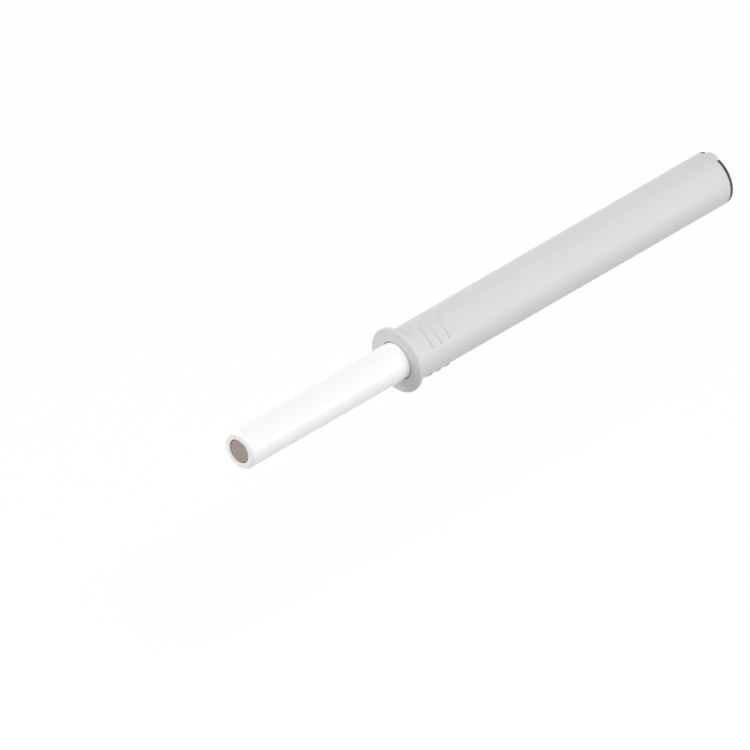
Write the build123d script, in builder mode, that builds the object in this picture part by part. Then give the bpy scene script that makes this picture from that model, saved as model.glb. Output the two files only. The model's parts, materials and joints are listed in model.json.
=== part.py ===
from build123d import *
import math
import os

# Push to open catch for a 10 mm hole in the edge of a cabinet panel.
# Y runs along the catch, from the plunger's tip (-Y) to the end cap (+Y). Z is up.
# The origin is on the axis, in the rear face of the collar, which seats on the panel.
# All sizes are in millimetres.

os.makedirs("parts", exist_ok=True)

# ---- Housing: one moulded tube ----
housing_dia = 9.85
housing_length = 75.7  # seating face to rear rim
housing_wall = 0.775
collar_dia = 12.1
collar_thickness = 0.6
collar_round = 0.4
grip_swell = 0.025  # the barbed stretch widens by this towards the collar, to fill the hole's mouth
rear_chamfer = 0.08
guide_depth = 8.0  # length of the narrow plunger guide behind the seating face
guide_mouth = 0.25  # chamfer at both ends of the guide

# Barbs: three rows in three groups, each a ridge with a steep front and a ramp to the rear
barb_rows = 3
barb_groups = 3
barb_first = 4.05
barb_pitch = 2.05
barb_ramp = 0.65
barb_height = 0.21
barb_half_angle = 29.0
barb_direction = 60.0  # middle of the first group, from +X towards +Z

# Shallow flat behind each barb group
flat_depth = 0.08
flat_end = 38.2
flat_gap = 0.9
flat_direction = 66.0

# Two rear tabs that turn the end cap the right way round
tab_width = 2.75
tab_length = 0.8
tab_round = 0.45
tab_play = 0.15  # gap on each side, in the end cap's notch

# Key in the bore that stops the cam slider from turning
key_width = 1.0
key_height = 0.6

# ---- Plunger sleeve and magnet ----
plunger_dia = 6.9
plunger_play = 0.15  # radial gap in the guide
plunger_reach = 38.1  # tip to the collar's front face, sprung out
plunger_wall = 0.75
plunger_tip_round = 0.5
tip_left_out = 0.6  # what still stands proud when it is pushed right in
magnet_dia = 4.3
magnet_length = 6.0
magnet_recess = 0.1
magnet_chamfer = 0.15
magnet_web = 1.2  # wall behind the magnet
magnet_play = 0.07  # gap round the magnet and behind it

# ---- Gap adjustment: the sleeve screws on the slider's spigot ----
adjust_in = 1.0
adjust_out = 4.0
thread_engaged = 9.0  # thread still engaged with the sleeve screwed right out
spigot_gap = 0.05
spigot_chamfer = 0.4

# ---- Cam slider ----
slider_play = 0.15  # radial gap of its guide rings in the bore
ring_length = 1.5
ring_step = 0.3  # how far the rings stand out from the body
seat_gap = 0.05
rear_room = 2.0  # left between slider and end cap when it is pushed right in
key_play = 0.1
track_floor = 2.35  # height of the cam track's floor above the axis
track_half_width = 1.75
island_height = 0.5
pocket_offset = 4.5  # slider's front face to the overshoot pocket
side_pocket_depth = 0.9
side_pocket_height = 2.2
side_pocket_rim = 2.5

# ---- Latch pin: bent wire ----
pin_dia = 0.6
pin_bend = 0.45
pin_arm_length = 20.0
pin_hole_gap = 0.05
pin_leg = 4.2  # length of the leg in the end cap
pin_over_island = 0.05
pin_over_floor = 0.1

# ---- Ejector spring ----
spring_dia = 3.6
spring_wire = 0.35
spring_turns = 24
runs_per_turn = 10
wire_sides = 5
spring_play = 0.15  # round it, in the slider's bore
spigot_end_wall = 1.5

# ---- End cap ----
cap_dia = 9.74
cap_flange = 0.6
cap_lead = 0.06  # the flange's rim narrows by this to the rear, to lead the catch into its hole
cap_chamfer = 0.08
plug_length = 8.2
plug_play = 0.05
plug_chamfer = 0.4
pivot_depth = 2.5  # plug's front face to the latch pin's pivot
post_play = 0.15  # between the post and the spring round it
post_length = 27.5
bead_height = 0.12
bead_width = 0.8
bead_depth = 4.5  # plug's front face to the middle of the snap bead
arm_slot_side = 0.3  # room beside the wire for its swing

# ---- Derived sizes and places ----
housing_radius = housing_dia / 2
bore_radius = housing_radius - housing_wall
plunger_radius = plunger_dia / 2
guide_radius = plunger_radius + plunger_play
collar_front = -collar_thickness
tip_y = collar_front - plunger_reach
stroke = plunger_reach - tip_left_out

plug_front = housing_length - plug_length
slider_front = guide_depth + seat_gap
slider_rear = plug_front - stroke - rear_room
sleeve_rear = slider_front - adjust_in - seat_gap
sleeve_bore_radius = plunger_radius - plunger_wall
spigot_radius = sleeve_bore_radius - spigot_gap
spigot_front = slider_front - adjust_out - thread_engaged

spring_radius = spring_dia / 2
spring_bore_radius = spring_radius + spring_play
spring_front = spigot_front + spigot_end_wall
post_radius = spring_radius - spring_wire - post_play

pivot_y = plug_front + pivot_depth
pin_tip_y = pivot_y - pin_arm_length
pin_arm_z = track_floor + island_height + pin_over_island + pin_dia / 2
track_y = slider_front + pocket_offset  # overshoot pocket, where the pin's tip is at full stroke

pin_radius = pin_dia / 2


def cross_section(y):
    """Sketch plane across the catch at y. Its own X and Y are the part's X and Z."""
    return Plane.XZ.offset(-y)


def length_section(angle):
    """Sketch plane through the catch's axis, turned from +X towards +Z. Its own X is the radius."""
    return Plane.XY.rotated((0, -angle, 0))


# ---- Housing ----
crest = housing_radius + barb_height
flat_start = barb_first + (barb_rows - 1) * barb_pitch + barb_ramp + flat_gap

with BuildPart() as housing:
    with BuildSketch(Plane.XY):
        with BuildLine():
            Polyline(
                (0, collar_front),
                (collar_dia / 2, collar_front),
                (collar_dia / 2, 0),
                (housing_radius + grip_swell, 0),
                (housing_radius, flat_start),
                (housing_radius, housing_length),
                (0, housing_length),
                close=True,
            )
        make_face()
    revolve(axis=Axis.Y)
    rims = housing.edges().filter_by(GeomType.CIRCLE).sort_by(Axis.Y)
    fillet(rims[0], radius=collar_round)
    chamfer(rims[-1], length=rear_chamfer)

    # flats, then barbs
    with BuildSketch(cross_section(flat_start)):
        with PolarLocations(housing_radius - flat_depth, barb_groups, start_angle=flat_direction):
            Rectangle(flat_depth * 4, housing_radius, align=(Align.MIN, Align.CENTER))
    extrude(amount=-(flat_end - flat_start), mode=Mode.SUBTRACT)
    for group in range(barb_groups):
        barb_end = barb_direction + barb_half_angle + group * 360 / barb_groups
        with BuildSketch(length_section(barb_end)):
            for row in range(barb_rows):
                barb_front = barb_first + row * barb_pitch
                with BuildLine():
                    Polyline(
                        (housing_radius - housing_wall / 2, barb_front),
                        (crest, barb_front),
                        (housing_radius, barb_front + barb_ramp),
                        (housing_radius - housing_wall / 2, barb_front + barb_ramp),
                        close=True,
                    )
                make_face()
        revolve(axis=Axis.Y, revolution_arc=2 * barb_half_angle)

    # rear tabs, in line with the tube's wall
    with BuildSketch(cross_section(housing_length - rear_chamfer)):
        Circle(housing_radius)
        Rectangle(tab_width, housing_dia * 2, mode=Mode.INTERSECT)
    extrude(amount=-(tab_length + rear_chamfer))
    fillet(housing.edges().filter_by(Axis.Z).sort_by(Axis.Y)[-2:], radius=tab_round)

    # plunger guide, main bore and the groove for the end cap's snap bead
    with BuildSketch(Plane.XY):
        with BuildLine():
            Polyline(
                (0, collar_front),
                (guide_radius + guide_mouth, collar_front),
                (guide_radius, collar_front + guide_mouth),
                (guide_radius, guide_depth - guide_mouth),
                (guide_radius + guide_mouth, guide_depth),
                (bore_radius, guide_depth),
                (bore_radius, plug_front + bead_depth - bead_width / 2),
                (bore_radius + bead_height, plug_front + bead_depth - bead_width / 4),
                (bore_radius + bead_height, plug_front + bead_depth + bead_width / 4),
                (bore_radius, plug_front + bead_depth + bead_width / 2),
                (bore_radius, housing_length + tab_length),
                (0, housing_length + tab_length),
                close=True,
            )
        make_face()
    revolve(axis=Axis.Y, mode=Mode.SUBTRACT)

    # anti-turn key along the bottom of the bore
    with BuildSketch(cross_section(guide_depth)):
        Circle(bore_radius + housing_wall / 2)
        Circle(bore_radius - key_height, mode=Mode.SUBTRACT)
        with Locations((0, -bore_radius)):
            Rectangle(key_width, housing_wall + key_height * 2, mode=Mode.INTERSECT)
    extrude(amount=-(plug_front - guide_depth - plug_chamfer))

# ---- Cam slider ----
ring_radius = bore_radius - slider_play
body_radius = ring_radius - ring_step
pocket_back = pin_radius * 3.6
island_nose = 5.6
island_half_width = 0.7

with BuildPart() as cam_slider:
    with BuildSketch(Plane.XY):
        with BuildLine():
            Polyline(
                (0, spigot_front),
                (spigot_radius - spigot_chamfer, spigot_front),
                (spigot_radius, spigot_front + spigot_chamfer),
                (spigot_radius, slider_front),
                (ring_radius, slider_front),
                (ring_radius, slider_front + ring_length),
                (body_radius, slider_front + ring_length + ring_step),
                (body_radius, slider_rear - ring_length - ring_step),
                (ring_radius, slider_rear - ring_length),
                (ring_radius, slider_rear),
                (0, slider_rear),
                close=True,
            )
        make_face()
    revolve(axis=Axis.Y)

    # cam track: open to the rear, with two overshoot pockets parted by a tooth at its front
    with BuildSketch(Plane.XY.offset(track_floor)):
        with BuildLine():
            Polyline(
                (-track_half_width, slider_rear),
                (-track_half_width, track_y - pin_radius),
                (-track_half_width / 2, track_y - pocket_back),
                (pin_radius / 2, track_y + pin_radius),
                (track_half_width / 2, track_y - pocket_back),
                (track_half_width, track_y - pin_radius),
                (track_half_width, slider_rear),
                close=True,
            )
        make_face()
    extrude(amount=bore_radius, mode=Mode.SUBTRACT)

    # heart shaped island, with the notch that the pin latches in
    with BuildSketch(Plane.XY.offset(track_floor)):
        with BuildLine():
            Polyline(
                (0, track_y + island_nose),
                (-island_half_width, track_y + 3.2),
                (-island_half_width, track_y + 2.0),
                (0, track_y + 2.6),
                (island_half_width, track_y + 2.0),
                (island_half_width, track_y + 3.2),
                close=True,
            )
        make_face()
        with Locations((0, track_y + 2.4)):
            Circle(pin_radius + pin_hole_gap, mode=Mode.SUBTRACT)
    extrude(amount=island_height)

    # keyway along the bottom
    with BuildSketch(cross_section(slider_front)):
        with Locations((0, -bore_radius)):
            Rectangle(key_width + 2 * key_play, 2 * (key_height + key_play))
    extrude(amount=-(slider_rear - slider_front), mode=Mode.SUBTRACT)

    # side pockets that keep the moulding's walls even
    pocket_front = slider_front + ring_length + side_pocket_rim
    pocket_rear = slider_rear - ring_length - side_pocket_rim
    with BuildSketch(Plane.XY.offset(-side_pocket_height / 2)):
        with Locations((body_radius, (pocket_front + pocket_rear) / 2),
                       (-body_radius, (pocket_front + pocket_rear) / 2)):
            RectangleRounded(2 * side_pocket_depth, pocket_rear - pocket_front, side_pocket_depth / 2)
    extrude(amount=side_pocket_height, mode=Mode.SUBTRACT)

    # spring bore, blind in the spigot
    with BuildSketch(cross_section(spring_front)):
        Circle(spring_bore_radius)
    extrude(amount=-(slider_rear - spring_front), mode=Mode.SUBTRACT)

# ---- Plunger sleeve ----
magnet_front = tip_y + magnet_recess
pocket_end = magnet_front + magnet_length + magnet_play
pocket_radius = magnet_dia / 2 + magnet_play

with BuildPart() as plunger_sleeve:
    with BuildSketch(Plane.XY):
        with BuildLine():
            Polyline(
                (0, pocket_end),
                (pocket_radius, pocket_end),
                (pocket_radius, tip_y),
                (plunger_radius, tip_y),
                (plunger_radius, sleeve_rear),
                (sleeve_bore_radius, sleeve_rear),
                (sleeve_bore_radius, pocket_end + magnet_web),
                (0, pocket_end + magnet_web),
                close=True,
            )
        make_face()
    revolve(axis=Axis.Y)
    tip_rims = plunger_sleeve.edges().filter_by(GeomType.CIRCLE).group_by(Axis.Y)[0]
    fillet(tip_rims.sort_by(SortBy.RADIUS)[-1], radius=plunger_tip_round)

# ---- Magnet ----
with BuildPart() as magnet:
    with BuildSketch(cross_section(magnet_front)):
        Circle(magnet_dia / 2)
    extrude(amount=-magnet_length)
    chamfer(magnet.edges().filter_by(GeomType.CIRCLE), length=magnet_chamfer)

# ---- End cap ----
plug_radius = bore_radius - plug_play
cap_rear = housing_length + cap_flange
post_front = plug_front - post_length
pivot_floor = pin_arm_z - pin_leg - pin_hole_gap

with BuildPart() as end_cap:
    with BuildSketch(Plane.XY):
        with BuildLine():
            Polyline(
                (0, post_front),
                (post_radius / 2, post_front),
                (post_radius, post_front + post_radius / 2),
                (post_radius, plug_front),
                (plug_radius - plug_chamfer, plug_front),
                (plug_radius, plug_front + plug_chamfer),
                (plug_radius, plug_front + bead_depth - bead_width / 2),
                (plug_radius + bead_height, plug_front + bead_depth - bead_width / 4),
                (plug_radius + bead_height, plug_front + bead_depth + bead_width / 4),
                (plug_radius, plug_front + bead_depth + bead_width / 2),
                (plug_radius, housing_length),
                (cap_dia / 2, housing_length),
                (cap_dia / 2 - cap_lead, cap_rear),
                (0, cap_rear),
                close=True,
            )
        make_face()
    revolve(axis=Axis.Y)
    chamfer(end_cap.edges().filter_by(GeomType.CIRCLE).sort_by(Axis.Y)[-1], length=cap_chamfer)

    # notches that the housing's tabs fill
    with BuildSketch(cross_section(housing_length)):
        Circle(housing_radius)
        Circle(plug_radius, mode=Mode.SUBTRACT)
        Rectangle(tab_width + 2 * tab_play, housing_dia * 2, mode=Mode.INTERSECT)
    extrude(amount=-cap_flange, mode=Mode.SUBTRACT)

    # slot that the latch pin's arm swings in, and the hole for its leg
    with BuildSketch(Plane.XY.offset(pin_arm_z - pin_radius - pin_hole_gap)):
        with Locations((0, plug_front)):
            Rectangle(pin_dia + 2 * arm_slot_side, pivot_depth + pin_dia,
                      align=(Align.CENTER, Align.MIN))
    extrude(amount=bore_radius, mode=Mode.SUBTRACT)
    with BuildSketch(Plane.XY.offset(pivot_floor)):
        with Locations((0, pivot_y)):
            Circle(pin_radius + pin_hole_gap)
    extrude(amount=pin_arm_z - pivot_floor, mode=Mode.SUBTRACT)

# ---- Latch pin ----
with BuildPart() as latch_pin:
    with BuildLine() as pin_route:
        FilletPolyline(
            (0, pivot_y, pin_arm_z - pin_leg),
            (0, pivot_y, pin_arm_z),
            (0, pin_tip_y, pin_arm_z),
            (0, pin_tip_y, track_floor + pin_over_floor),
            radius=pin_bend,
        )
    with BuildSketch(Plane(origin=pin_route.line @ 0, z_dir=pin_route.line % 0)):
        Circle(pin_radius)
    sweep()

# ---- Ejector spring: an even helix with plain ground ends, its turns drawn as short straight runs ----
coil_radius = spring_radius - spring_wire / 2
coil_runs = spring_turns * runs_per_turn
coil_points = []
for step in range(coil_runs + 1):
    turned = math.tau * step / runs_per_turn
    along = spring_front + (plug_front - spring_front) * step / coil_runs
    coil_points.append((coil_radius * math.cos(turned), along, coil_radius * math.sin(turned)))

with BuildPart() as ejector_spring:
    with BuildLine() as coil:
        Polyline(*coil_points)
    with BuildSketch(Plane(origin=coil.line @ 0, z_dir=coil.line % 0)):
        RegularPolygon(radius=spring_wire / 2, side_count=wire_sides)
    sweep(transition=Transition.RIGHT)
    split(bisect_by=cross_section(spring_front), keep=Keep.BOTTOM)
    split(bisect_by=cross_section(plug_front), keep=Keep.TOP)

pieces = {
    "housing": housing,
    "end_cap": end_cap,
    "cam_slider": cam_slider,
    "plunger_sleeve": plunger_sleeve,
    "magnet": magnet,
    "latch_pin": latch_pin,
    "ejector_spring": ejector_spring,
}
for name, piece in pieces.items():
    piece.part.label = name
    export_step(piece.part, f"parts/{name}.step")
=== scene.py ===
import json
import math

import bmesh
import bpy
import numpy as np
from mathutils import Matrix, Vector


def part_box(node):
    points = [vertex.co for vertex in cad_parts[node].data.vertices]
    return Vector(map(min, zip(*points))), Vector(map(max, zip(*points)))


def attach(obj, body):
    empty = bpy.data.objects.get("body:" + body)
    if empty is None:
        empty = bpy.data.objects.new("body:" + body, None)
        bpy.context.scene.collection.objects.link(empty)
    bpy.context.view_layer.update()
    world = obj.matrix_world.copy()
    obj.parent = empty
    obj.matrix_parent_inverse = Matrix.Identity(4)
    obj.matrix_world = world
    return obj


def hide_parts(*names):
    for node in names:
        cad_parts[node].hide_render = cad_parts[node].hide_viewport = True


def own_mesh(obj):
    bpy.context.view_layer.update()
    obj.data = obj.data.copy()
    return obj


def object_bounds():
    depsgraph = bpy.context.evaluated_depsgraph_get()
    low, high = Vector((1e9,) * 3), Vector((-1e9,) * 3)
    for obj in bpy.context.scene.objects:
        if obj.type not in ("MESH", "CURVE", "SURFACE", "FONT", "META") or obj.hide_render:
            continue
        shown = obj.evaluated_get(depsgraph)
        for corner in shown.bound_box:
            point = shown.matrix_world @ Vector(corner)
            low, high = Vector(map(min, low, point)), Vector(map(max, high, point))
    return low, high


# Push to open catch: a barbed grey tube with a thin collar, a white plunger with a magnet in its tip, a
# dark end cap, and inside it the cam slider, the latch pin and the ejector spring.
# Sizes in the dictionaries are millimetres. Y runs along the catch, from the plunger's tip to the end cap.

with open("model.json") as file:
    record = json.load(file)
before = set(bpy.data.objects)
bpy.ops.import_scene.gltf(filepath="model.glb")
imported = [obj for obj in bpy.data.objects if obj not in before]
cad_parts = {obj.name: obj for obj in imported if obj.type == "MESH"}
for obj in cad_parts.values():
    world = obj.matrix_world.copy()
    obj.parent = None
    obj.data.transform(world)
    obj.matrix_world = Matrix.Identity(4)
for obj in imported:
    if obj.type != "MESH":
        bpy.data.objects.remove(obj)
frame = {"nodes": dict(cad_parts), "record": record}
cadLow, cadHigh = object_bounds()
mm = 0.001
weldDistance = 1e-7  # metres


def boxOf(node):
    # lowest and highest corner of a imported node, in millimetres
    low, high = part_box(node)
    return np.array(low) / mm, np.array(high) / mm


def mountSize(name, key):
    # one stated dimension of a mount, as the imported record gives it
    return next(mount["dims"][key] for mount in frame["record"]["mounts"] if mount["name"] == name)


print("stage: frame loaded")


def roundedLine(corners, steps):
    # Each corner is (y, r) or (y, r, round). The line runs straight to a rounded corner's tangent point,
    # round / tan(half the inner angle) before it, turns on an arc of that radius and goes on to the next.
    # The arc's centre lies on the bisector, round / sin(half the inner angle) from the corner, and the
    # arc's points are evenly spaced on it.
    spots = np.array([corner[:2] for corner in corners], float)
    rounds = [corner[2] if len(corner) > 2 else 0 for corner in corners]
    line = []
    for i, (spot, size) in enumerate(zip(spots, rounds)):
        if not size:
            line.append(spot[None])
            continue
        before = spots[i - 1] - spot
        after = spots[(i + 1) % len(spots)] - spot
        before, after = before / np.linalg.norm(before), after / np.linalg.norm(after)
        half = math.acos(np.clip(before @ after, -1, 1)) / 2
        centre = spot + (before + after) / np.linalg.norm(before + after) * size / math.sin(half)
        start = spot + before * size / math.tan(half) - centre
        end = spot + after * size / math.tan(half) - centre
        sweep = math.pi - 2 * half
        t = np.linspace(0, 1, steps)[:, None]
        line.append(centre + (start * np.sin((1 - t) * sweep) + end * np.sin(t * sweep)) / math.sin(sweep))
    return np.concatenate(line)


def turned(line, columns):
    # Surface of revolution: the point (y, r) of the line stands at (r cos a, y, r sin a) for each angle a
    angle = np.linspace(0, 2 * math.pi, columns, endpoint=False)
    y, r = line[:, :1], line[:, 1:]
    return np.stack([r * np.cos(angle), y + 0 * angle, r * np.sin(angle)], axis=-1)


def shellPiece(name, points, faces, sharpAngle=28):
    # A closed shell from points in millimetres. Points that coincide are welded, so poles are single
    # points, its faces turn outwards, and edges that turn by more than the sharp angle stay crisp.
    mesh = bpy.data.meshes.new(name)
    mesh.from_pydata((points * mm).tolist(), [], faces.tolist())
    shell = bmesh.new()
    shell.from_mesh(mesh)
    bmesh.ops.remove_doubles(shell, verts=shell.verts, dist=weldDistance)
    bmesh.ops.dissolve_degenerate(shell, edges=shell.edges, dist=weldDistance)
    bmesh.ops.recalc_face_normals(shell, faces=shell.faces)
    shell.to_mesh(mesh)
    shell.free()
    mesh.shade_smooth()
    mesh.set_sharp_from_angle(angle=math.radians(sharpAngle))
    piece = bpy.data.objects.new(name, mesh)
    bpy.context.scene.collection.objects.link(piece)
    return piece


def gridPiece(name, grid, closedLine=False, sharpAngle=28):
    # Faces join neighbours on a grid of (line, around) points, which closes around and, if asked, along
    # the line
    rows, columns = grid.shape[:2]
    index = np.arange(rows * columns).reshape(rows, columns)
    if closedLine:
        index = np.vstack([index, index[:1]])
    beside = np.roll(index, -1, axis=1)
    quads = np.stack([index[:-1], index[1:], beside[1:], beside[:-1]], axis=-1).reshape(-1, 4)
    return shellPiece(name, grid.reshape(-1, 3), quads, sharpAngle)


def dress(piece, material, body, node):
    # gives a new piece its material and the body that it moves with, and hides the imported node that it
    # stands for
    piece.data.materials.clear()
    piece.data.materials.append(material)
    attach(piece, body)
    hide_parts(node)


def linear(colour):
    # sRGB hex to linear light: below 0.04045 divide by 12.92, above it take the 2.4 power curve
    values = [int(colour[i:i + 2], 16) / 255 for i in (1, 3, 5)]
    return [v / 12.92 if v <= 0.04045 else ((v + 0.055) / 1.055) ** 2.4 for v in values] + [1]


white = linear("#FFFFFF")
mixShare, mixFirst, mixSecond = 0, 6, 7  # inputs of a Mix node that mixes colours
mixResult = 2  # and its output
noiseRange = {"From Min": 0.3, "From Max": 0.7}  # nearly all values of a noise texture lie between these


def addNode(tree, kind, settings=None, links=None):
    # settings name a property of the node or one of its sockets, links name a socket and what feeds it
    node = tree.nodes.new(kind)
    for name, value in (settings or {}).items():
        if isinstance(name, str) and hasattr(node, name):
            setattr(node, name, value)
        else:
            node.inputs[name].default_value = value
    for socket, source in (links or {}).items():
        tree.links.new(source, node.inputs[socket])
    return node


def newMaterial(name, shader):
    # a material with one Principled shader, whose constant values stand on its own sockets
    material = bpy.data.materials.new(name)
    material.use_nodes = True
    tree = material.node_tree
    tree.nodes.clear()
    principled = addNode(tree, "ShaderNodeBsdfPrincipled", shader)
    addNode(tree, "ShaderNodeOutputMaterial", links={"Surface": principled.outputs["BSDF"]})
    place = addNode(tree, "ShaderNodeTexCoord")
    return material, tree, principled, place.outputs["Object"]


def perMetre(size):
    # how many pattern cells of that size, in millimetres, make a metre
    return 1 / (size * mm)


# Glass filled nylon, injection moulded in a spark eroded tool: an even, fine matt grain, a broad soft
# highlight, and slightly clouded colour where the melt flowed
greyNylonFinish = {
    "colour": "#D9DCDB",
    "cloudColour": "#D6D9D8",
    "cloudSize": 14,
    "grainSize": 0.22,  # the real grain is finer, and wouldn't show
    "grainHeight": 0.004,
    "roughness": 0.46,
    "roughnessSpread": 0.06,
}

# The same nylon dyed charcoal: it keeps the grain, and its edges catch a dull grey light
charcoalNylonFinish = {
    "colour": "#393A3C",
    "cloudColour": "#343537",
    "cloudSize": 6,
    "grainSize": 0.2,
    "grainHeight": 0.004,
    "roughness": 0.5,
    "roughnessSpread": 0.06,
}


def sparkErodedNylon(name, finish):
    # clouds tint the colour, and the grain gives the bump and varies the roughness evenly about its middle
    material, tree, principled, spot = newMaterial(name, {"IOR": 1.53})
    clouds = addNode(tree, "ShaderNodeTexNoise", {"Scale": perMetre(finish["cloudSize"]), "Detail": 3.0},
                     {"Vector": spot})
    grain = addNode(tree, "ShaderNodeTexNoise", {"Scale": perMetre(finish["grainSize"]), "Detail": 2.0},
                    {"Vector": spot})
    colour = addNode(tree, "ShaderNodeMix",
                     {"data_type": "RGBA", mixFirst: linear(finish["colour"]),
                      mixSecond: linear(finish["cloudColour"])},
                     {mixShare: clouds.outputs["Fac"]})
    shine = addNode(tree, "ShaderNodeMapRange",
                    {**noiseRange,
                     "To Min": finish["roughness"] - finish["roughnessSpread"],
                     "To Max": finish["roughness"] + finish["roughnessSpread"]},
                    {"Value": grain.outputs["Fac"]})
    bump = addNode(tree, "ShaderNodeBump", {"Strength": 1.0, "Distance": finish["grainHeight"] * mm},
                   {"Height": grain.outputs["Fac"]})
    tree.links.new(colour.outputs[mixResult], principled.inputs["Base Color"])
    tree.links.new(shine.outputs["Result"], principled.inputs["Roughness"])
    tree.links.new(bump.outputs["Normal"], principled.inputs["Normal"])
    return material


# Acetal, moulded in a polished tool: dense bright white with a waxy sheen, and faint draw marks along it
whiteAcetalFinish = {
    "colour": "#FCFCFC",
    "waxColour": "#FAFAFA",
    "waxSize": 9,
    "drawSpacing": 0.35,
    "drawStretch": 60,
    "drawHeight": 0.0015,
    "roughness": 0.32,
}

# Uncoloured acetal, as sliding parts are made of: a little yellower and duller
naturalAcetalFinish = dict(whiteAcetalFinish, colour="#EFEDE4", waxColour="#E8E6DC", roughness=0.38)


def polishedAcetal(name, finish):
    # wax patches tint the colour, and a noise stretched along Y gives the draw marks their bump
    material, tree, principled, spot = newMaterial(name, {"IOR": 1.48, "Roughness": finish["roughness"]})
    wax = addNode(tree, "ShaderNodeTexNoise", {"Scale": perMetre(finish["waxSize"]), "Detail": 2.0},
                  {"Vector": spot})
    along = addNode(tree, "ShaderNodeMapping", {"Scale": (1, 1 / finish["drawStretch"], 1)},
                    {"Vector": spot})
    draws = addNode(tree, "ShaderNodeTexNoise", {"Scale": perMetre(finish["drawSpacing"]), "Detail": 1.0},
                    {"Vector": along.outputs["Vector"]})
    colour = addNode(tree, "ShaderNodeMix",
                     {"data_type": "RGBA", mixFirst: linear(finish["colour"]),
                      mixSecond: linear(finish["waxColour"])},
                     {mixShare: wax.outputs["Fac"]})
    bump = addNode(tree, "ShaderNodeBump", {"Strength": 1.0, "Distance": finish["drawHeight"] * mm},
                   {"Height": draws.outputs["Fac"]})
    tree.links.new(colour.outputs[mixResult], principled.inputs["Base Color"])
    tree.links.new(bump.outputs["Normal"], principled.inputs["Normal"])
    return material


# Bright nickel over a ground sintered magnet: a warm grey mirror, dulled by the fine grind under the plating
nickelFinish = {
    "colour": "#A3978F",
    "dullColour": "#9A8E86",
    "patchSize": 1.6,
    "grindSpacing": 0.12,
    "grindStretch": 25,
    "grindHeight": 0.0006,
    "roughness": 0.24,
    "roughnessSpread": 0.05,
}


def nickelPlate(name, finish):
    # dull patches tint the colour, and a noise stretched along Z gives the grind its bump and uneven shine
    material, tree, principled, spot = newMaterial(name, {"Metallic": 1.0})
    patches = addNode(tree, "ShaderNodeTexNoise", {"Scale": perMetre(finish["patchSize"]), "Detail": 3.0},
                      {"Vector": spot})
    across = addNode(tree, "ShaderNodeMapping", {"Scale": (1, 1, 1 / finish["grindStretch"])},
                     {"Vector": spot})
    grind = addNode(tree, "ShaderNodeTexNoise", {"Scale": perMetre(finish["grindSpacing"]), "Detail": 2.0},
                    {"Vector": across.outputs["Vector"]})
    colour = addNode(tree, "ShaderNodeMix",
                     {"data_type": "RGBA", mixFirst: linear(finish["colour"]),
                      mixSecond: linear(finish["dullColour"])},
                     {mixShare: patches.outputs["Fac"]})
    shine = addNode(tree, "ShaderNodeMapRange",
                    {**noiseRange,
                     "To Min": finish["roughness"] - finish["roughnessSpread"],
                     "To Max": finish["roughness"] + finish["roughnessSpread"]},
                    {"Value": grind.outputs["Fac"]})
    bump = addNode(tree, "ShaderNodeBump", {"Strength": 1.0, "Distance": finish["grindHeight"] * mm},
                   {"Height": grind.outputs["Fac"]})
    tree.links.new(colour.outputs[mixResult], principled.inputs["Base Color"])
    tree.links.new(shine.outputs["Result"], principled.inputs["Roughness"])
    tree.links.new(bump.outputs["Normal"], principled.inputs["Normal"])
    return material


# Patented drawn spring wire: bright steel with fine die marks and a thin grey film of drawing soap
springWireFinish = {
    "colour": "#B4B4B2",
    "filmColour": "#8E8E8C",
    "filmSize": 0.8,
    "markSize": 0.03,
    "markHeight": 0.0006,
    "roughness": 0.3,
}


def drawnSpringWire(name, finish):
    # the soap film tints the colour, and a fine noise gives the die marks their bump
    shader = {"Metallic": 1.0, "Roughness": finish["roughness"]}
    material, tree, principled, spot = newMaterial(name, shader)
    film = addNode(tree, "ShaderNodeTexNoise", {"Scale": perMetre(finish["filmSize"]), "Detail": 4.0},
                   {"Vector": spot})
    marks = addNode(tree, "ShaderNodeTexNoise", {"Scale": perMetre(finish["markSize"]), "Detail": 1.0},
                    {"Vector": spot})
    colour = addNode(tree, "ShaderNodeMix",
                     {"data_type": "RGBA", mixFirst: linear(finish["colour"]),
                      mixSecond: linear(finish["filmColour"])},
                     {mixShare: film.outputs["Fac"]})
    bump = addNode(tree, "ShaderNodeBump", {"Strength": 1.0, "Distance": finish["markHeight"] * mm},
                   {"Height": marks.outputs["Fac"]})
    tree.links.new(colour.outputs[mixResult], principled.inputs["Base Color"])
    tree.links.new(bump.outputs["Normal"], principled.inputs["Normal"])
    return material


greyNylon = sparkErodedNylon("greyMouldedNylon", greyNylonFinish)
charcoalNylon = sparkErodedNylon("charcoalMouldedNylon", charcoalNylonFinish)
whiteAcetal = polishedAcetal("whiteMouldedAcetal", whiteAcetalFinish)
naturalAcetal = polishedAcetal("naturalMouldedAcetal", naturalAcetalFinish)
nickel = nickelPlate("nickelPlatedMagnet", nickelFinish)
springWire = drawnSpringWire("drawnSpringWire", springWireFinish)
print("stage: materials made")

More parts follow.
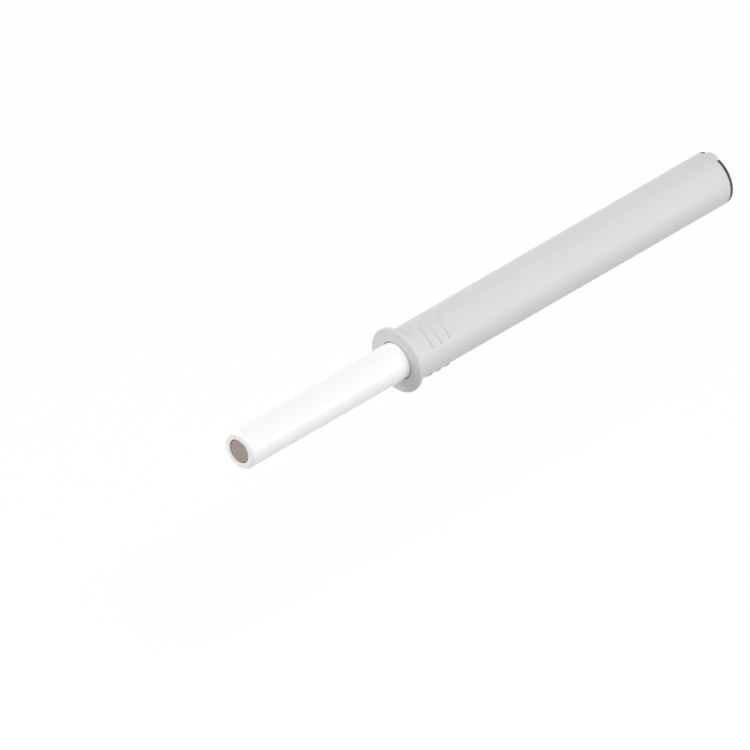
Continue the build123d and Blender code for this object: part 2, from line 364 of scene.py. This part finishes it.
# The housing: one moulded wall with its collar, barbs, flats, rear tabs, key and snap groove
housingLow, housingHigh = boxOf("housing")
housing = {
    "tubeRadius": mountSize("shank", "r_mm"),
    "gripSwell": 0.025,  # the tube widens by this from the flats' start to the collar
    "collarRadius": min(*-housingLow[::2], *housingHigh[::2]),  # the least reach, to stay in the CAD box
    "collarFront": housingLow[1],
    "collarRound": 0.3,
    "collarEdge": 0.05,
    "collarRoot": 0.15,
    "tabEnd": housingHigh[1],
    "tabLength": 0.8,
    "tabWidth": 2.65,
    "tabRound": 0.6,
    "rimEdge": 0.08,
    "flatStart": 9.7,
    "flatEnd": 38.2,
    "flatDepth": 0.08,
    "flatMiddles": (66, 186, 306),  # degrees, from +X towards +Z
    "barbFirst": 4.05,
    "barbPitch": 2.05,
    "barbFront": 0.15,
    "barbRamp": 0.65,
    "barbHeight": 0.21,
    "barbHalfAngle": 29,
    "barbMiddles": (60, 180, 300),
    "barbsInGroup": 3,
    "guideRadius": 3.58,
    "guideMouth": 0.05,
    "guideEnd": 8.0,
    "boreRadius": 4.15,
    "grooveAt": 72.0,
    "grooveWidth": 0.8,
    "grooveDepth": 0.12,
    "keyWidth": 1.0,
    "keyHeight": 0.6,
    "keyEnd": 67.1,
    # the rest sets how fine the mesh is
    "columns": 360,
    "cornerColumns": (0.6, 0.99, 9),  # over a tab's corner: from, to, as shares of its half width, and count
    "collarSteps": 7,
    "barbFrontRows": 7,
    "barbRampRows": (0.1, 6),  # how far behind the crest the first one lies, and count
    "plainRows": ((0.4, 3.85, 5), (14, 34, 6), (44, 70, 6)),  # along the plain stretches: from, to, count
    "rimSteps": 4,
    "boreRows": 6,
    "stepLength": 0.004,  # half of what a step takes along the axis
    "stepAngle": 0.001,  # half of what a step takes round the axis, in radians
}
up, down = math.pi / 2, 3 * math.pi / 2  # where the tabs stand; the key lies at the bottom


def halfAngle(width, radius):
    # half the angle that a straight width takes up on a circle: its sine is half the width by the radius
    return math.asin(width / 2 / radius)


def ridgeHeight(size, y, angle):
    # A barb rises on a parabola over its front to its full height, and falls evenly to nothing over its
    # ramp. It is as high all along its arc and ends there at once.
    height = 0 * (y + angle)
    for barb in range(size["barbsInGroup"]):
        along = y - size["barbFirst"] - barb * size["barbPitch"]
        rise = np.clip(1 + along / size["barbFront"], 0, 1)
        fall = np.clip(1 - along / size["barbRamp"], 0, 1)
        ridge = size["barbHeight"] * (1 - (1 - rise)**2) * fall
        for middle in size["barbMiddles"]:
            onArc = np.cos(angle - math.radians(middle)) > math.cos(math.radians(size["barbHalfAngle"]))
            height = np.where(onArc, np.maximum(height, ridge), height)
    return height


def flatRadius(size, angle):
    # A flat lies at the distance d from the axis, so its radius is d / cos(a) at the angle a from its
    # middle. That passes the tube's radius long before cos(a) falls to a half, where the cosine is held.
    radius = np.full(np.shape(angle), size["tubeRadius"])
    distance = size["tubeRadius"] - size["flatDepth"]
    for middle in size["flatMiddles"]:
        facing = np.cos(angle - math.radians(middle))
        radius = np.minimum(radius, distance / np.maximum(facing, 0.5))
    return radius


def housingColumns(size):
    # The columns stand evenly round the axis, with a close pair at each step, one at each edge of a flat
    # and more over the tabs' rounded corners
    tabHalf = halfAngle(size["tabWidth"], size["tubeRadius"])
    keyHalf = halfAngle(size["keyWidth"], size["boreRadius"] - size["keyHeight"])
    barbHalf = math.radians(size["barbHalfAngle"])
    flatHalf = math.acos(1 - size["flatDepth"] / size["tubeRadius"])
    stepped = [(up, tabHalf), (down, tabHalf), (down, keyHalf)]
    stepped += [(math.radians(middle), barbHalf) for middle in size["barbMiddles"]]
    edges = [middle + side * half + shift for middle, half in stepped
             for side in (-1, 1) for shift in (-size["stepAngle"], size["stepAngle"])]
    edges += [math.radians(middle) + side * flatHalf for middle in size["flatMiddles"] for side in (-1, 1)]
    edges += [middle + side * tabHalf * share for middle in (up, down)
              for side in (-1, 1) for share in np.linspace(*size["cornerColumns"])]
    even = np.linspace(0, 2 * math.pi, size["columns"], endpoint=False)
    return np.unique(np.concatenate([even, np.array(edges) % (2 * math.pi)]))


def collarSection(size, angle):
    # from the guide's mouth out over the collar to the tube, the same at every angle
    line = roundedLine([
        (size["collarFront"] + size["guideMouth"], size["guideRadius"]),
        (size["collarFront"], size["guideRadius"] + size["guideMouth"]),
        (size["collarFront"], size["collarRadius"], size["collarRound"]),
        (0, size["collarRadius"], size["collarEdge"]),
        (0, size["tubeRadius"] + size["gripSwell"], size["collarRoot"]),
        (size["flatStart"], size["tubeRadius"]),
    ], size["collarSteps"])[:-1]  # the last corner only gives the direction
    return line[:, :1] + 0 * angle, line[:, 1:] + 0 * angle


def tubeSection(size, angle):
    # along the tube, which swells evenly towards the collar, loses the flats and gains the barbs
    hair = size["stepLength"]
    rampStart, rampCount = size["barbRampRows"]
    barbRows = [size["barbFirst"] + barb * size["barbPitch"] + along for barb in range(size["barbsInGroup"])
                for along in [*np.linspace(-size["barbFront"], 0, size["barbFrontRows"]),
                              *np.linspace(rampStart, size["barbRamp"], rampCount)]]
    flatRows = [end + shift for end in (size["flatStart"], size["flatEnd"]) for shift in (-hair, hair)]
    plainRows = np.concatenate([np.linspace(*stretch) for stretch in size["plainRows"]])
    y = np.unique(np.concatenate([barbRows, flatRows, plainRows]))[:, None]
    swell = size["gripSwell"] * np.clip(1 - y / size["flatStart"], 0, 1)
    r = size["tubeRadius"] + swell + 0 * angle
    r = np.where((y > size["flatStart"]) & (y < size["flatEnd"]), flatRadius(size, angle), r)
    ridge = ridgeHeight(size, y, angle)
    r = np.where(ridge > 0, np.maximum(r, size["tubeRadius"] + ridge), r)
    return y + 0 * angle, r


def rimSection(size, angle):
    # Round the rear rim, on a quarter arc, and in to the bore. The rim stands further back at the two
    # tabs, whose corners turn on an arc of their own across the tab.
    across = np.abs(np.cos(angle)) * size["tubeRadius"]
    onTab = across < size["tabWidth"] / 2
    inCorner = np.clip(across - size["tabWidth"] / 2 + size["tabRound"], 0, size["tabRound"])
    cornerDrop = size["tabRound"] - np.sqrt(size["tabRound"]**2 - inCorner**2)
    rimEnd = size["tabEnd"] - np.where(onTab, cornerDrop, size["tabLength"])
    share = np.linspace(0, 1, size["rimSteps"])[:, None]
    y = rimEnd - size["rimEdge"] * (1 - np.sin(share * math.pi / 2))
    r = size["tubeRadius"] - size["rimEdge"] * (1 - np.cos(share * math.pi / 2)) + 0 * angle
    return np.vstack([y, rimEnd[None]]), np.vstack([r, size["boreRadius"] + 0 * angle[None]])


def boreSection(size, angle):
    # from the rear to the guide's mouth, with the snap groove round the bore and the key along its bottom
    hair = size["stepLength"]
    half = size["grooveWidth"] / 2
    keyRows = np.linspace(size["keyEnd"] - hair, size["guideEnd"], size["boreRows"])
    line = np.array([
        (size["grooveAt"] + half, size["boreRadius"]),
        (size["grooveAt"] + half / 2, size["boreRadius"] + size["grooveDepth"]),
        (size["grooveAt"] - half / 2, size["boreRadius"] + size["grooveDepth"]),
        (size["grooveAt"] - half, size["boreRadius"]),
        (size["keyEnd"] + hair, size["boreRadius"]),
        *[(y, size["boreRadius"]) for y in keyRows],
        (size["guideEnd"], size["guideRadius"] + size["guideMouth"]),
        (size["guideEnd"] - size["guideMouth"], size["guideRadius"]),
        (size["guideEnd"] / 2, size["guideRadius"]),
    ])
    y, r = line[:, :1] + 0 * angle, line[:, 1:] + 0 * angle
    keyHalf = halfAngle(size["keyWidth"], size["boreRadius"] - size["keyHeight"])
    onKey = (np.abs(angle - down) < keyHalf) & (y < size["keyEnd"]) & (r == size["boreRadius"])
    return y, np.where(onKey, size["boreRadius"] - size["keyHeight"], r)


def housingGrid(size):
    # One closed wall section, carried round the axis: its point (y, r) at the angle a stands at
    # (r cos a, y, r sin a)
    angle = housingColumns(size)
    sections = [section(size, angle) for section in (collarSection, tubeSection, rimSection, boreSection)]
    y = np.vstack([section[0] for section in sections])
    r = np.vstack([section[1] for section in sections])
    return np.stack([r * np.cos(angle), y, r * np.sin(angle)], axis=-1)


housingShell = gridPiece("housingShell", housingGrid(housing), closedLine=True)
dress(housingShell, greyNylon, "housing", "housing")
print("stage: housing made")

# The plunger sleeve, with a pocket in its tip for the magnet
sleeveLow, sleeveHigh = boxOf("plunger_sleeve")
magnetLow, magnetHigh = boxOf("magnet")
plunger = {
    "radius": sleeveHigh[0],
    "tip": sleeveLow[1],
    "rear": sleeveHigh[1],
    "tipRound": 0.5,
    "pocketRadius": magnetHigh[0] + 0.1,  # with room round the magnet
    "pocketEnd": magnetHigh[1] + 0.07,  # and behind it
    "pocketEdge": 0.04,
    "webThickness": 1.2,
    "webRound": 0.3,
    "boreRadius": 2.75,
    "rearRound": 0.15,
    "plainRows": (6, 4, 5),  # how far the first lies from the tip and the last from the rear, and count
    "cornerSteps": 8,
    "columns": 192,
}


def plungerLine(size):
    # half a lengthwise section: out of the pocket, over the tip, along the outside and back up the bore
    fromTip, fromRear, count = size["plainRows"]
    boreEnd = size["pocketEnd"] + size["webThickness"]
    return roundedLine([
        (size["pocketEnd"], 0),
        (size["pocketEnd"], size["pocketRadius"]),
        (size["tip"], size["pocketRadius"], size["pocketEdge"]),
        (size["tip"], size["radius"], size["tipRound"]),
        *[(y, size["radius"]) for y in np.linspace(size["tip"] + fromTip, size["rear"] - fromRear, count)],
        (size["rear"], size["radius"], size["rearRound"]),
        (size["rear"], size["boreRadius"], size["rearRound"]),
        (boreEnd, size["boreRadius"], size["webRound"]),
        (boreEnd, 0),
    ], size["cornerSteps"])


plungerShell = gridPiece("plungerShell", turned(plungerLine(plunger), plunger["columns"]))
dress(plungerShell, whiteAcetal, "plunger", "plunger_sleeve")

# The magnet, a plated disc
magnet = {
    "radius": magnetHigh[0],
    "front": magnetLow[1],
    "rear": magnetHigh[1],
    "edge": 0.12,
    "edgeSteps": 6,
    "columns": 128,
}


def magnetLine(size):
    # half a lengthwise section: out over the front, round both edges and back in
    return roundedLine([
        (size["front"], 0),
        (size["front"], size["radius"] / 2),
        (size["front"], size["radius"], size["edge"]),
        (size["rear"], size["radius"], size["edge"]),
        (size["rear"], 0),
    ], size["edgeSteps"])


magnetDisc = gridPiece("magnetDisc", turned(magnetLine(magnet), magnet["columns"]))
dress(magnetDisc, nickel, "magnet", "magnet")
print("stage: plunger and magnet made")

# The latch pin: a wire with one leg in the end cap and the other in the slider's cam track
pinLow, pinHigh = boxOf("latch_pin")
pin = {
    "radius": pinHigh[0],
    "front": pinLow[1],
    "rear": pinHigh[1],
    "foot": pinLow[2],
    "top": pinHigh[2],
    "tipHeight": 2.45,
    "bend": 0.45,
    "bendSteps": 12,
    "dome": 0.25,
    "domeRings": 7,
    "sides": 32,
}


def pinPath(size):
    # The wire's middle line, as points (y, z): up from the end cap, forwards and down into the track. At
    # each end the points' distances from it are the dome times 1 - cos of even angles up to a right one.
    rear, front = size["rear"] - size["radius"], size["front"] + size["radius"]
    top = size["top"] - size["radius"]
    path = roundedLine([
        (rear, size["foot"]),
        (rear, top, size["bend"]),
        (front, top, size["bend"]),
        (front, size["tipHeight"]),
    ], size["bendSteps"])
    rings = (1 - np.cos(np.linspace(0, math.pi / 2, size["domeRings"])))[:, None] * size["dome"] * (0, 1)
    return np.vstack([path[0] + rings, path[1:-1], (path[-1] + rings)[::-1]])


def wireGrid(path, radius, sides, dome):
    # A round wire in the plane x = 0: at each point of the path a ring of that radius stands across it,
    # spanned by +X and by the tangent's normal. Over the dome at each end it shrinks on a quarter arc.
    step = np.diff(path, axis=0)
    length = np.concatenate([[0], np.cumsum(np.linalg.norm(step, axis=1))])
    tangent = np.gradient(path, length, axis=0)
    tangent /= np.linalg.norm(tangent, axis=1, keepdims=True)
    fromEnd = np.minimum(length, length[-1] - length)
    size = radius * np.where(fromEnd < dome, np.sqrt(np.clip(1 - (1 - fromEnd / dome)**2, 0, 1)), 1)
    turn = np.linspace(0, 2 * math.pi, sides, endpoint=False)
    across = size[:, None] * np.sin(turn)
    return np.stack([size[:, None] * np.cos(turn),
                     path[:, :1] - tangent[:, 1:] * across,
                     path[:, 1:] + tangent[:, :1] * across], axis=-1)


latchPin = gridPiece("latchPin", wireGrid(pinPath(pin), pin["radius"], pin["sides"], pin["dome"]))
dress(latchPin, springWire, "latch_pin", "latch_pin")

# The ejector spring, between the end cap and the slider
springLow, springHigh = boxOf("ejector_spring")
spring = {
    "front": springLow[1],
    "rear": springHigh[1],
    "radius": 1.8,
    "wire": 0.35,
    "groundShare": 0.25,  # of the wire's thickness, ground off at each end
    "turns": 24,
    "closedTurns": 1.25,
    "blendTurns": 0.5,
    "stepsPerTurn": 40,
    "sides": 12,
}


def springGrid(size):
    # A helix whose pitch is one wire at the closed ends and even between them, and goes from one to the
    # other as 3 t^2 - 2 t^3. Its ring of points stands across the wire, spanned by the way out from the
    # axis and by the axis. The ends are ground flat, and each closes on the middle of its ring.
    turn = np.linspace(0, size["turns"], size["turns"] * size["stepsPerTurn"] + 1)
    fromEnd = np.minimum(turn, size["turns"] - turn)
    blend = np.clip((fromEnd - size["closedTurns"] + size["blendTurns"] / 2) / size["blendTurns"], 0, 1)
    blend = blend * blend * (3 - 2 * blend)
    weight = np.concatenate([[0], np.cumsum((blend[1:] + blend[:-1]) / 2) * (turn[1] - turn[0])])
    ground = size["wire"] * size["groundShare"]
    length = size["rear"] - size["front"] - 2 * ground
    pitch = (length - size["wire"] * size["turns"]) / weight[-1]
    along = size["front"] + ground + size["wire"] * turn + pitch * weight
    angle = 2 * math.pi * turn
    ring = np.linspace(0, 2 * math.pi, size["sides"], endpoint=False)
    reach = size["radius"] - size["wire"] / 2 + size["wire"] / 2 * np.cos(ring)
    y = np.clip(along[:, None] + size["wire"] / 2 * np.sin(ring), size["front"], size["rear"])
    grid = np.stack([reach * np.cos(angle)[:, None], y, reach * np.sin(angle)[:, None]], axis=-1)
    ends = grid[[0, -1]].mean(axis=1, keepdims=True) + 0 * grid[[0, -1]]
    return np.concatenate([ends[:1], grid, ends[1:]])


ejectorCoil = gridPiece("ejectorCoil", springGrid(spring), sharpAngle=50)
dress(ejectorCoil, springWire, "housing", "ejector_spring")
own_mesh(ejectorCoil)
print("stage: latch pin and spring made")

# The end cap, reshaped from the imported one: its rim is straight, and its notches leave room beside the tabs
capHigh = boxOf("end_cap")[1]
endCap = {
    "rimRadius": capHigh[0],
    "rimLength": 0.6,
    "rimEdge": 0.03,
    "rear": capHigh[1],
    "packedNotch": 1.525,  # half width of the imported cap's notches
    "notchReach": 1.95,  # how far each notch reaches on its wider side, to lever the cap out
    "spreadEnd": 4.2,
    "notchFloor": 2.1,  # the flange keeps its shape nearer the axis than this
}


def capPoints(size, points):
    # The rim keeps one radius up to a small edge, so each of its points goes out along its own direction.
    # On a notch's wider side each point of the flange slides round the axis: its distance u from the tab's
    # middle plane is stretched evenly from 0 to the notch's wall, and squeezed evenly up to spreadEnd.
    x, y, z = points.T
    radius = np.hypot(x, z)
    nearby = weldDistance / mm
    onFlange = y > size["rear"] - size["rimLength"] - nearby
    onFace = y > size["rear"] - nearby
    onRim = (y > size["rear"] - size["rimLength"] / 2) & (radius > size["rimRadius"] - size["rimLength"] / 2)
    wanted = np.where(onRim, size["rimRadius"] - size["rimEdge"] * onFace, radius)
    newY = np.where(onRim & ~onFace, size["rear"] - size["rimEdge"], y)
    scale = np.divide(wanted, radius, out=np.ones_like(radius), where=radius > 0)
    side = np.where(z > 0, 1, -1)
    u = -x * side * scale
    spread = np.interp(u, (0, size["packedNotch"], size["spreadEnd"], size["rimRadius"]),
                       (0, size["notchReach"], size["spreadEnd"], size["rimRadius"]))
    wide = onFlange & (u > 0) & (wanted > size["notchFloor"])
    newX = np.where(wide, -side * spread, x * scale)
    newZ = np.where(wide, side * np.sqrt(np.maximum(wanted**2 - spread**2, 0)), z * scale)
    return np.stack([newX, newY, newZ], axis=-1)


def packedShell(node):
    # the points, in millimetres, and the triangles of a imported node
    mesh = frame["nodes"][node].data
    points = np.empty(len(mesh.vertices) * 3, np.float32)
    mesh.vertices.foreach_get("co", points)
    corners = np.empty(len(mesh.loops), np.int32)
    mesh.loops.foreach_get("vertex_index", corners)
    return points.reshape(-1, 3).astype(float) / mm, corners.reshape(-1, 3)


packedPoints, packedFaces = packedShell("end_cap")
rearCap = shellPiece("rearCap", capPoints(endCap, packedPoints), packedFaces)
dress(rearCap, charcoalNylon, "housing", "end_cap")
print("stage: end cap made")

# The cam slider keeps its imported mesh
for slot in frame["nodes"]["cam_slider"].material_slots:
    slot.material = naturalAcetal
print("stage: material on the cam slider")


def seenByEye(tree):
    # 1 for a ray from the eye, off a mirror or through glass, and 0 for one that carries light on
    path = addNode(tree, "ShaderNodeLightPath")
    straight = addNode(tree, "ShaderNodeMath", {"operation": "ADD"},
                       {0: path.outputs["Is Camera Ray"], 1: path.outputs["Is Glossy Ray"]})
    anyWay = addNode(tree, "ShaderNodeMath", {"operation": "ADD", "use_clamp": True},
                     {0: straight.outputs["Value"], 1: path.outputs["Is Transmission Ray"]})
    return anyWay.outputs["Value"]


floorSetup = {
    "below": 38,  # under the housing
    "size": 3000,
    "bounceColour": "#D9D9D7",
    "shadowShare": 0.06,
}


def paleFloor(setup):
    # a wide plane under the catch: lamps see pale grey card, the eye and reflections see it as near white
    half = setup["size"] / 2 * mm
    height = (housingLow[2] - setup["below"]) * mm
    corners = [(-half, -half, height), (half, -half, height), (half, half, height), (-half, half, height)]
    mesh = bpy.data.meshes.new("floor")
    mesh.from_pydata(corners, [], [(0, 1, 2, 3)])
    floor = bpy.data.objects.new("floor", mesh)
    bpy.context.scene.collection.objects.link(floor)
    material = bpy.data.materials.new("paleCard")
    material.use_nodes = True
    tree = material.node_tree
    tree.nodes.clear()
    card = addNode(tree, "ShaderNodeBsdfDiffuse", {"Color": linear(setup["bounceColour"])})
    paper = addNode(tree, "ShaderNodeBsdfDiffuse", {"Color": white})
    light = addNode(tree, "ShaderNodeEmission", {"Color": white, "Strength": 1.0})
    seen = addNode(tree, "ShaderNodeMixShader", {"Fac": setup["shadowShare"]},
                   {1: light.outputs["Emission"], 2: paper.outputs["BSDF"]})
    surface = addNode(tree, "ShaderNodeMixShader", None,
                      {"Fac": seenByEye(tree), 1: card.outputs["BSDF"], 2: seen.outputs["Shader"]})
    addNode(tree, "ShaderNodeOutputMaterial", links={"Surface": surface.outputs["Shader"]})
    mesh.materials.append(material)


paleFloor(floorSetup)

lightSetup = {
    "worldStrength": 0.25,
    "distance": 600,
    "size": 300,
    # each lamp's level, as a share of a white surface's brightness square on, and where it stands
    "lamps": {
        "topLamp": (0.6, (0.39, -0.06, 0.92)),
        "frontLamp": (0.36, (-0.41, -0.87, 0.28)),
        "leftLamp": (0.28, (-0.95, 0.1, 0.15)),
        "rightLamp": (0.26, (0.83, 0.35, 0.17)),
    },
}


def softWorld(setup):
    # an even sky: white to the eye and in reflections, dimmer as a light source
    world = bpy.data.worlds.new("studioWorld")
    bpy.context.scene.world = world
    world.use_nodes = True
    tree = world.node_tree
    tree.nodes.clear()
    light = addNode(tree, "ShaderNodeBackground", {"Color": white, "Strength": setup["worldStrength"]})
    seen = addNode(tree, "ShaderNodeBackground", {"Color": white, "Strength": 1.0})
    sky = addNode(tree, "ShaderNodeMixShader", None,
                  {"Fac": seenByEye(tree), 1: light.outputs["Background"], 2: seen.outputs["Background"]})
    addNode(tree, "ShaderNodeOutputWorld", links={"Surface": sky.outputs["Shader"]})


def softLamp(name, level, towards, distance, size, target):
    # A square lamp of power P lights a surface square on, at the distance d, with P / (pi d^2), and a
    # white surface shows that divided by pi, so the wanted level needs P = level pi^2 d^2
    lamp = bpy.data.lights.new(name, "AREA")
    lamp.shape = "SQUARE"
    lamp.size = size * mm
    lamp.energy = level * (math.pi * distance * mm)**2
    lampObject = bpy.data.objects.new(name, lamp)
    bpy.context.scene.collection.objects.link(lampObject)
    direction = np.array(towards, float) / np.linalg.norm(towards)
    lampObject.location = (target + direction * distance) * mm
    lampObject.rotation_mode = "QUATERNION"
    lampObject.rotation_quaternion = Vector(direction).to_track_quat("Z", "Y")


catchMiddle = (np.array(cadLow) + np.array(cadHigh)) / 2 / mm
softWorld(lightSetup)
for lampName, (level, towards) in lightSetup["lamps"].items():
    softLamp(lampName, level, towards, lightSetup["distance"], lightSetup["size"], catchMiddle)

cameraSetup = {
    "azimuth": 45,
    "elevation": math.degrees(math.atan(math.sqrt(0.5))),  # isometric
    "frameWidth": 128.64,
    "right": -4.02,  # where the picture's middle lies from the origin
    "up": -2.68,
    "distance": 500,
    "nearest": 10,
    "farthest": 10000,
}


def isometricCamera(setup):
    # The camera stands back along (sin a cos e, -cos a cos e, sin e) and looks at a point that lies right
    # and up of the origin in its own picture plane
    a, e = math.radians(setup["azimuth"]), math.radians(setup["elevation"])
    back = np.array([math.sin(a) * math.cos(e), -math.cos(a) * math.cos(e), math.sin(e)])
    right = np.array([math.cos(a), math.sin(a), 0])
    above = np.cross(back, right)
    camera = bpy.data.cameras.new("camera")
    camera.type = "ORTHO"
    camera.ortho_scale = setup["frameWidth"] * mm
    camera.clip_start = setup["nearest"] * mm
    camera.clip_end = setup["farthest"] * mm
    cameraObject = bpy.data.objects.new("camera", camera)
    bpy.context.scene.collection.objects.link(cameraObject)
    cameraObject.location = (right * setup["right"] + above * setup["up"] + back * setup["distance"]) * mm
    cameraObject.rotation_mode = "QUATERNION"
    cameraObject.rotation_quaternion = Vector(-back).to_track_quat("-Z", "Y")
    bpy.context.scene.camera = cameraObject


isometricCamera(cameraSetup)
bpy.context.scene.view_settings.view_transform = "Standard"
print("stage: floor, light and camera placed")
